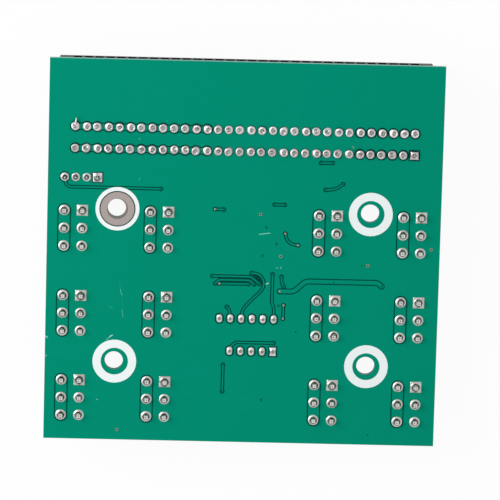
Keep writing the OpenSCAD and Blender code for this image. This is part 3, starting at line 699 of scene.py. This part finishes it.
@dataclass(frozen=True)
class JointKind:
    """A kind of solder joint, raised level by level from the outline of its land."""

    name: str
    land: Land
    size: tuple[float, float]
    levels: tuple[Level, ...]
    # How far the top may lie off the land's middle, in millimetres, and the least share of that
    drift: float = 0.08
    least_drift: float = 0.2
    # How far the joint may lean, in degrees, and the share of its height from which it does
    lean: float = 5.0
    lean_from: float = 0.3
    # Share of the lean that the topmost level adds
    lean_step: float = 0.5
    # How far the heights may differ between joints, as a share
    change: float = 0.1
    patterns: int = 6
    sides: int = 32

    def outline(self) -> bpy.types.Object:
        """Draw the land's outline.

        Returns:
            The outline as one flat face, about the origin.
        """
        width, length = (side * MM for side in self.size)
        if self.land is Land.SQUARE:
            bpy.ops.mesh.primitive_plane_add(size=width)
            bpy.ops.object.mode_set(mode="EDIT")
            bpy.ops.transform.resize(value=(1.0, length / width, 1.0), center_override=(0.0, 0.0, 0.0))
            bpy.ops.mesh.delete(type="ONLY_FACE")
            bpy.ops.mesh.select_all(action="SELECT")
            bpy.ops.mesh.subdivide(number_cuts=self.sides // 4 - 1)
            bpy.ops.mesh.edge_face_add()
            bpy.ops.object.mode_set(mode="OBJECT")
            return bpy.context.object
        bpy.ops.mesh.primitive_circle_add(vertices=self.sides, radius=width / 2, fill_type="NGON")
        piece = bpy.context.object
        if self.land is Land.OVAL:
            self.stretch(piece, (length - width) / 2)
        return piece

    def stretch(self, piece: bpy.types.Object, shift: float) -> None:
        """Move the two halves of a round outline apart along Y.

        Args:
            piece: the outline.
            shift: how far each half moves, in metres.
        """
        for side in (-1, 1):
            bpy.ops.object.mode_set(mode="EDIT")
            bpy.ops.mesh.select_all(action="DESELECT")
            bpy.ops.object.mode_set(mode="OBJECT")
            for corner in piece.data.vertices:
                corner.select = corner.co.y * side > HAIR
            bpy.ops.object.mode_set(mode="EDIT")
            bpy.ops.transform.translate(value=(0.0, side * shift, 0.0))
        bpy.ops.mesh.select_all(action="SELECT")
        bpy.ops.object.mode_set(mode="OBJECT")

    def model(self, dice: random.Random) -> bpy.types.Object:
        """Model one joint about the origin.

        Args:
            dice: the source of its uneven flow.

        Returns:
            The joint, as a closed mesh.
        """
        piece = self.outline()
        piece.name = self.name
        angle = dice.uniform(0, math.tau)
        shift = dice.uniform(self.least_drift, 1.0) * self.drift * MM
        growth = 1 + dice.uniform(-self.change, self.change)
        lean = math.radians(dice.uniform(-self.lean, self.lean))
        drift = Vector((math.cos(angle), math.sin(angle), 0.0)) * shift
        reach, centre = 1.0, Vector((0.0, 0.0, 0.0))
        bpy.ops.object.mode_set(mode="EDIT")
        bpy.ops.mesh.select_all(action="SELECT")
        for level in self.levels:
            share = level.height / self.levels[-1].height
            goal = drift * share
            goal.z = level.height * growth * MM
            bpy.ops.mesh.extrude_region_move(
                TRANSFORM_OT_translate={"value": goal - centre, "orient_type": "GLOBAL"}
            )
            size = level.reach / reach
            reach, centre = level.reach, goal
            bpy.ops.transform.resize(value=(size, size, 1.0), center_override=centre)
            if level.roundness:
                bpy.ops.transform.tosphere(value=level.roundness, center_override=centre)
            if share > self.lean_from:
                tilt = lean * share * self.lean_step
                bpy.ops.transform.rotate(value=tilt, orient_axis="X", center_override=centre)
        bpy.ops.mesh.select_all(action="SELECT")
        bpy.ops.mesh.normals_make_consistent(inside=False)
        bpy.ops.object.mode_set(mode="OBJECT")
        bpy.ops.object.shade_smooth_by_angle(angle=SMOOTH_ANGLE)
        return piece


# Bead that nearly covers a contact tail, with a small crater round it
SLOT_BEAD = JointKind(
    "slot_bead", Land.OVAL, SLOT_LAND,
    (
        Level(1.0, 0.05), Level(0.97, 0.16), Level(0.91, 0.29), Level(0.82, 0.39), Level(0.7, 0.46),
        Level(0.57, 0.5), Level(0.47, 0.48), Level(0.4, 0.38), Level(0.33, 0.26), Level(0.25, 0.24),
    ),
    drift=0.16, patterns=8,
)
SLOT_SQUARE_BEAD = JointKind(
    "slot_square_bead", Land.SQUARE, SLOT_SQUARE,
    (
        Level(1.0, 0.05), Level(0.95, 0.12), Level(0.88, 0.24, 0.3), Level(0.78, 0.36, 0.8),
        Level(0.68, 0.43, 1.0), Level(0.57, 0.46), Level(0.48, 0.45), Level(0.4, 0.36),
        Level(0.33, 0.26), Level(0.25, 0.24),
    ),
    patterns=1,
)
# Fillet that climbs a power pin: a flat bright rim, then a steep meniscus
POWER_FILLET = JointKind(
    "power_fillet", Land.ROUND, POWER_LAND,
    (
        Level(1.0, 0.04), Level(0.93, 0.1), Level(0.84, 0.14), Level(0.76, 0.19), Level(0.68, 0.27),
        Level(0.6, 0.4), Level(0.54, 0.58), Level(0.49, 0.78), Level(0.46, 0.95),
    ),
    drift=0.1, lean=8.0, change=0.15, patterns=8,
)
POWER_SQUARE_FILLET = JointKind(
    "power_square_fillet", Land.SQUARE, POWER_SQUARE,
    (
        Level(1.0, 0.04), Level(0.95, 0.09), Level(0.86, 0.13, 0.3), Level(0.76, 0.18, 0.8),
        Level(0.67, 0.27, 1.0), Level(0.58, 0.4), Level(0.52, 0.58), Level(0.47, 0.78), Level(0.44, 0.95),
    ),
    lean=8.0, change=0.15, patterns=4,
)
# Bead on a display pin
DISPLAY_BEAD = JointKind(
    "display_bead", Land.OVAL, DISPLAY_WETTED,
    (
        Level(1.0, 0.04), Level(0.95, 0.12), Level(0.86, 0.21), Level(0.74, 0.29), Level(0.6, 0.35, 0.4),
        Level(0.47, 0.4, 0.8), Level(0.39, 0.47, 1.0), Level(0.35, 0.56),
    ),
    drift=0.06, patterns=5,
)
DISPLAY_SQUARE_BEAD = JointKind(
    "display_square_bead", Land.SQUARE, DISPLAY_WETTED,
    (
        Level(1.0, 0.04), Level(0.95, 0.1), Level(0.84, 0.17, 0.2), Level(0.7, 0.24, 0.5),
        Level(0.56, 0.31, 0.9), Level(0.46, 0.38, 1.0), Level(0.39, 0.47), Level(0.35, 0.56),
    ),
    patterns=1,
)
# Fillet on a signal pin
SIGNAL_FILLET = JointKind(
    "signal_fillet", Land.ROUND, SIGNAL_LAND,
    (
        Level(1.0, 0.04), Level(0.95, 0.1), Level(0.84, 0.17), Level(0.72, 0.25), Level(0.6, 0.36),
        Level(0.5, 0.52), Level(0.42, 0.7), Level(0.36, 0.84),
    ),
    drift=0.1, patterns=3,
)
SIGNAL_SQUARE_FILLET = JointKind(
    "signal_square_fillet", Land.SQUARE, SIGNAL_SQUARE,
    (
        Level(1.0, 0.04), Level(0.94, 0.07), Level(0.86, 0.1, 0.1), Level(0.76, 0.2, 0.9),
        Level(0.66, 0.34, 1.0), Level(0.54, 0.46), Level(0.44, 0.6), Level(0.36, 0.84),
    ),
    patterns=1,
)


# How many turns about the vertical leave each land as it is
LAND_TURNS = {Land.ROUND: 16, Land.SQUARE: 2, Land.OVAL: 2}


class JointShop:
    """Models each pattern of joint once, and sets copies of them on the board."""

    def __init__(self, shelf: FinishShelf, seed: int) -> None:
        """Start with no patterns.

        Args:
            shelf: where the solder's finish comes from.
            seed: seed of the joints' uneven flow.
        """
        self.shelf = shelf
        self.dice = random.Random(seed)
        self.patterns: dict[str, list[bpy.types.Object]] = {}
        self.deck = high_mm(BOARD).z

    def pattern(self, kind: JointKind) -> bpy.types.Object:
        """Pick one pattern of a kind by chance, and model them all at the kind's first use.

        Args:
            kind: the kind of joint.

        Returns:
            The pattern.
        """
        if kind.name not in self.patterns:
            self.patterns[kind.name] = [kind.model(self.dice) for _ in range(kind.patterns)]
        return self.dice.choice(self.patterns[kind.name])

    def turn(self, kind: JointKind) -> float:
        """Return a turn, in radians, that leaves the land's outline as it is."""
        turns = LAND_TURNS[kind.land]
        return self.dice.randrange(turns) * math.tau / turns

    def set(self, kind: JointKind, spots: Iterable[Spot]) -> list[bpy.types.Object]:
        """Set one joint on each spot.

        Args:
            kind: the kind of joint.
            spots: their places, in millimetres.

        Returns:
            The joints.
        """
        joints = []
        for x, y in spots:
            pattern = self.pattern(kind)
            joints.append(placed_copy(pattern, Vector((x, y, self.deck)) * MM, self.turn(kind)))
        return joints

    def finish(self, joints: Sequence[bpy.types.Object], node: str) -> None:
        """Join joints into the piece that stands for a CAD node.

        Args:
            joints: the joints, in place.
            node: the CAD node that they replace.
        """
        piece = join(joints, node.replace("solder", "joints"))
        self.shelf.dress(piece, finish_of(node))
        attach(piece, BODY)
        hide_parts(node)

    def clear(self) -> None:
        """Take the patterns out of the scene."""
        for pattern in [piece for pieces in self.patterns.values() for piece in pieces]:
            bpy.data.objects.remove(pattern)
        self.patterns.clear()


def header_spots(number: int) -> list[Spot]:
    """Find one power header's six pins.

    Args:
        number: the header's number, from 1.

    Returns:
        Their places, column by column from the slot's side.
    """
    middle = middle_mm(f"power_pins_{number:02d}")
    columns = (-POWER_PITCH / 2, POWER_PITCH / 2)
    rows = (POWER_PITCH, 0.0, -POWER_PITCH)
    return [(middle.x + x, middle.y + y) for x in columns for y in rows]


@dataclass
class SlotJoints:
    """Two rows of beads on the slot's contacts, with the spike that the iron drew out of the first."""

    shop: JointShop
    ways: int = 32
    # Where the spike's foot is from the middle of the bead's land, and its tip from its foot, in millimetres
    spike_foot: Place = (-0.1, 0.5, 0.45)
    spike_run: Place = (0.2, 1.6, 0.35)
    foot_radius: float = 0.36
    tip_radius: float = 0.13
    spike_sides: int = 16

    def spots(self, node: str) -> list[Spot]:
        """Find one row of contacts.

        Args:
            node: the CAD node of the row's joints.

        Returns:
            The places of its contacts.
        """
        middle = middle_mm(node)
        return [(middle.x + (i - (self.ways - 1) / 2) * PIN_PITCH, middle.y) for i in range(self.ways)]

    def spike(self, bead: Spot) -> bpy.types.Object:
        """Model the spike.

        Args:
            bead: the middle of the bead that it stands on.

        Returns:
            The spike, in place.
        """
        foot = Vector((*bead, self.shop.deck)) + Vector(self.spike_foot)
        run = Vector(self.spike_run)
        bpy.ops.mesh.primitive_cone_add(
            vertices=self.spike_sides,
            radius1=self.foot_radius * MM,
            radius2=self.tip_radius * MM,
            depth=run.length * MM,
            location=(foot + run / 2) * MM,
            rotation=run.to_track_quat("Z", "Y").to_euler(),
        )
        bpy.ops.object.transform_apply(location=True, rotation=True, scale=True)
        bpy.ops.object.shade_smooth_by_angle(angle=SMOOTH_ANGLE)
        return bpy.context.object

    def build(self) -> None:
        """Make both rows; the last contact of the far one has the square land."""
        near, far = self.spots("slot_solder_near"), self.spots("slot_solder_far")
        joints = self.shop.set(SLOT_BEAD, near) + [self.spike(near[0])]
        self.shop.finish(joints, "slot_solder_near")
        joints = self.shop.set(SLOT_BEAD, far[:-1]) + self.shop.set(SLOT_SQUARE_BEAD, far[-1:])
        self.shop.finish(joints, "slot_solder_far")


@dataclass
class PowerJoints:
    """Fillets on the power pins, one piece for each row of headers."""

    shop: JointShop
    # Which of a header's pins has the square land
    square_pin: int = 3

    def build(self) -> None:
        """Make the rows."""
        for row in range(HEADER_ROWS):
            joints = []
            for column in range(HEADER_COLUMNS):
                spots = header_spots(row * HEADER_COLUMNS + column + 1)
                square = spots.pop(self.square_pin)
                joints += self.shop.set(POWER_FILLET, spots)
                joints += self.shop.set(POWER_SQUARE_FILLET, [square])
            self.shop.finish(joints, f"power_solder_row_{row + 1}")


@dataclass
class DisplayJoints:
    """Beads on the display's pins."""

    shop: JointShop
    # Pins of the upper row, those of the lower row on oval lands, and the one on its square land
    upper: range = range(0, 6)
    lower: range = range(1, 5)
    square: int = 5

    def spots(self, ways: Iterable[int], middle_y: float) -> list[Spot]:
        """Find pins of one row.

        Args:
            ways: their numbers, from 0.
            middle_y: the row's place along Y, in millimetres.

        Returns:
            The places of the pins.
        """
        start = low_mm("display_solder").x + DISPLAY_LAND[0] / 2
        return [(start + i * PIN_PITCH, middle_y) for i in ways]

    def build(self) -> None:
        """Make both rows as one piece."""
        upper_y = high_mm("display_solder").y - DISPLAY_LAND[1] / 2
        lower_y = low_mm("display_solder").y + DISPLAY_LAND[1] / 2
        spots = self.spots(self.upper, upper_y) + self.spots(self.lower, lower_y)
        joints = self.shop.set(DISPLAY_BEAD, spots)
        joints += self.shop.set(DISPLAY_SQUARE_BEAD, self.spots([self.square], lower_y))
        self.shop.finish(joints, "display_solder")


@dataclass
class SignalJoints:
    """Fillets on the signal pins."""

    shop: JointShop
    ways: int = 4

    def build(self) -> None:
        """Make the row; its last pin has the square land."""
        start = low_mm("signal_solder").x + SIGNAL_LAND[0] / 2
        spots = [(start + i * PIN_PITCH, middle_mm("signal_solder").y) for i in range(self.ways)]
        joints = self.shop.set(SIGNAL_FILLET, spots[:-1]) + self.shop.set(SIGNAL_SQUARE_FILLET, spots[-1:])
        self.shop.finish(joints, "signal_solder")


@dataclass
class PinCores:
    """Dull spot of brass on the sheared end of each power pin, with sizes in millimetres."""

    shelf: FinishShelf
    radius: float = 0.13
    # Half of it is sunk in the pin
    thickness: float = 0.02
    sides: int = 14
    # How far a spot may lie off its pin's middle, and how little and how much the shear draws it out
    scatter: float = 0.08
    draw_x: tuple[float, float] = (0.7, 1.1)
    draw_y: tuple[float, float] = (0.9, 1.6)

    def build(self) -> None:
        """Make the spots as one piece."""
        dice = random.Random(SEED)
        bpy.ops.mesh.primitive_cylinder_add(
            vertices=self.sides, radius=self.radius * MM, depth=self.thickness * MM
        )
        pattern = bpy.context.object
        top = high_mm("power_pins_01").z
        headers = range(1, HEADER_ROWS * HEADER_COLUMNS + 1)
        cores = []
        for x, y in [spot for number in headers for spot in header_spots(number)]:
            off = [dice.uniform(-self.scatter, self.scatter) for _ in "xy"]
            draw = [dice.uniform(*limits) for limits in (self.draw_x, self.draw_y)]
            at = Vector((x + off[0], y + off[1], top)) * MM
            core = placed_copy(pattern, Vector((0.0, 0.0, 0.0)), 0.0)
            core.data.transform(Matrix.Translation(at) @ Matrix.Diagonal((*draw, 1.0, 1.0)))
            cores.append(core)
        bpy.data.objects.remove(pattern)
        piece = join(cores, "pin_cores")
        self.shelf.dress(piece, "sheared_brass_core")
        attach(piece, BODY)


# ---- room ----------------------------------------------------------------------------------------


@dataclass
class Studio:
    """White floor, dome of light, one soft lamp and the camera, with sizes in metres unless marked mm."""

    floor_size: float = 3.0
    floor_white: float = 0.86
    # Share of the floor's own white that the camera sees in place of its lit colour
    floor_glow: float = 0.94
    key_power: float = 2.38
    key_size: float = 0.42
    key_place: Place = (-0.4, 0.15, 0.38)
    dome_strength: float = 0.66
    # The camera's stand dims the dome overhead to this share, between these heights of the view's direction
    overhead: float = 0.6
    shade_from: float = 0.8
    shade_full: float = 0.97
    # Camera: its place, its turns about X, Y and Z in degrees, its lens and sensor in millimetres, and how
    # far it sees
    camera_mm: Place = (-19.91, 166.3, 941.72)
    camera_turn: Place = (-10.112, -1.304, 1.305)
    lens: float = 290.93
    sensor: float = 36.0
    sight: float = 10.0

    def seen(self, graph: Graph) -> bpy.types.NodeSocket:
        """Tell the rays that show the background from those that light the object.

        Args:
            graph: the material's or the world's graph.

        Returns:
            1 on rays from the camera, off a mirror or through glass, and 0 on the others.
        """
        shown = 0.0
        for ray in ("Is Camera Ray", "Is Glossy Ray", "Is Transmission Ray"):
            shown = graph.add("Math", {0: shown, 1: graph.add("LightPath", out=ray)}, operation="MAXIMUM")
        return shown

    def floor(self) -> None:
        """Make the floor, which stays white to the camera and keeps a faint shadow."""
        bpy.ops.mesh.primitive_plane_add(size=self.floor_size)
        floor = bpy.context.object
        floor.name = "floor"
        material = bpy.data.materials.new("white_paper")
        material.use_nodes = True
        graph = Graph(material.node_tree)
        share = graph.add("Math", {0: self.seen(graph), 1: self.floor_glow}, operation="MULTIPLY")
        lit = graph.add("BsdfDiffuse", {"Color": (self.floor_white,) * 3 + (1.0,)})
        glow = graph.add("Emission", {"Color": WHITE, "Strength": 1.0})
        graph.add("OutputMaterial", {"Surface": graph.add("MixShader", {0: share, 1: lit, 2: glow})})
        floor.data.materials.append(material)

    def dome(self) -> None:
        """Set the world: soft light for the object, white to the camera and to reflections."""
        world = bpy.data.worlds.new("dome")
        bpy.context.scene.world = world
        world.use_nodes = True
        graph = Graph(world.node_tree)
        strength = graph.add("MapRange", {"Value": self.seen(graph), "To Min": self.dome_strength})
        up = graph.add("SeparateXYZ", {0: graph.add("TexCoord", out="Generated")}, "Z")
        limits = {"From Min": self.shade_from, "From Max": self.shade_full, "To Min": 1.0}
        overhead = graph.add("MapRange", {"Value": up, "To Max": self.overhead, **limits})
        both = graph.add("Math", {0: strength, 1: overhead}, operation="MULTIPLY")
        sky = graph.add("Background", {"Color": WHITE, "Strength": both})
        graph.add("OutputWorld", {"Surface": sky})

    def lamp(self) -> None:
        """Hang the square lamp, which faces the board."""
        bpy.ops.object.light_add(type="AREA", location=self.key_place)
        lamp = bpy.context.object
        lamp.name = "key_lamp"
        lamp.data.size = self.key_size
        lamp.data.energy = self.key_power
        aim = middle_mm(BOARD) * MM - Vector(self.key_place)
        lamp.rotation_euler = aim.to_track_quat("-Z", "Y").to_euler()

    def camera(self) -> None:
        """Place the camera at the measured viewpoint."""
        data = bpy.data.cameras.new("camera")
        data.sensor_width = self.sensor
        data.lens = self.lens
        data.clip_end = self.sight
        camera = bpy.data.objects.new("camera", data)
        bpy.context.scene.collection.objects.link(camera)
        tip, roll, swing = (math.radians(a) for a in self.camera_turn)
        turn = Matrix.Rotation(tip, 4, "X") @ Matrix.Rotation(roll, 4, "Y") @ Matrix.Rotation(swing, 4, "Z")
        camera.matrix_world = Matrix.Translation(Vector(self.camera_mm) * MM) @ turn
        bpy.context.scene.camera = camera

    def build(self) -> None:
        """Make the floor, the dome, the lamp and the camera."""
        self.floor()
        self.dome()
        self.lamp()
        self.camera()
        log.info("built the studio")


def main() -> None:
    """Dress the frame, build what it lacks, and light it."""
    logging.basicConfig(level=logging.INFO, format="%(message)s")
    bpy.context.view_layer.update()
    deselect_all()
    shelf = FinishShelf()
    shelf.dress_frame()
    shop = JointShop(shelf, SEED)
    for group in (SlotJoints(shop), PowerJoints(shop), DisplayJoints(shop), SignalJoints(shop)):
        group.build()
    shop.clear()
    PinCores(shelf).build()
    Studio().build()
    bpy.context.scene.view_settings.view_transform = "Standard"


if __name__ == "__main__":
    main()
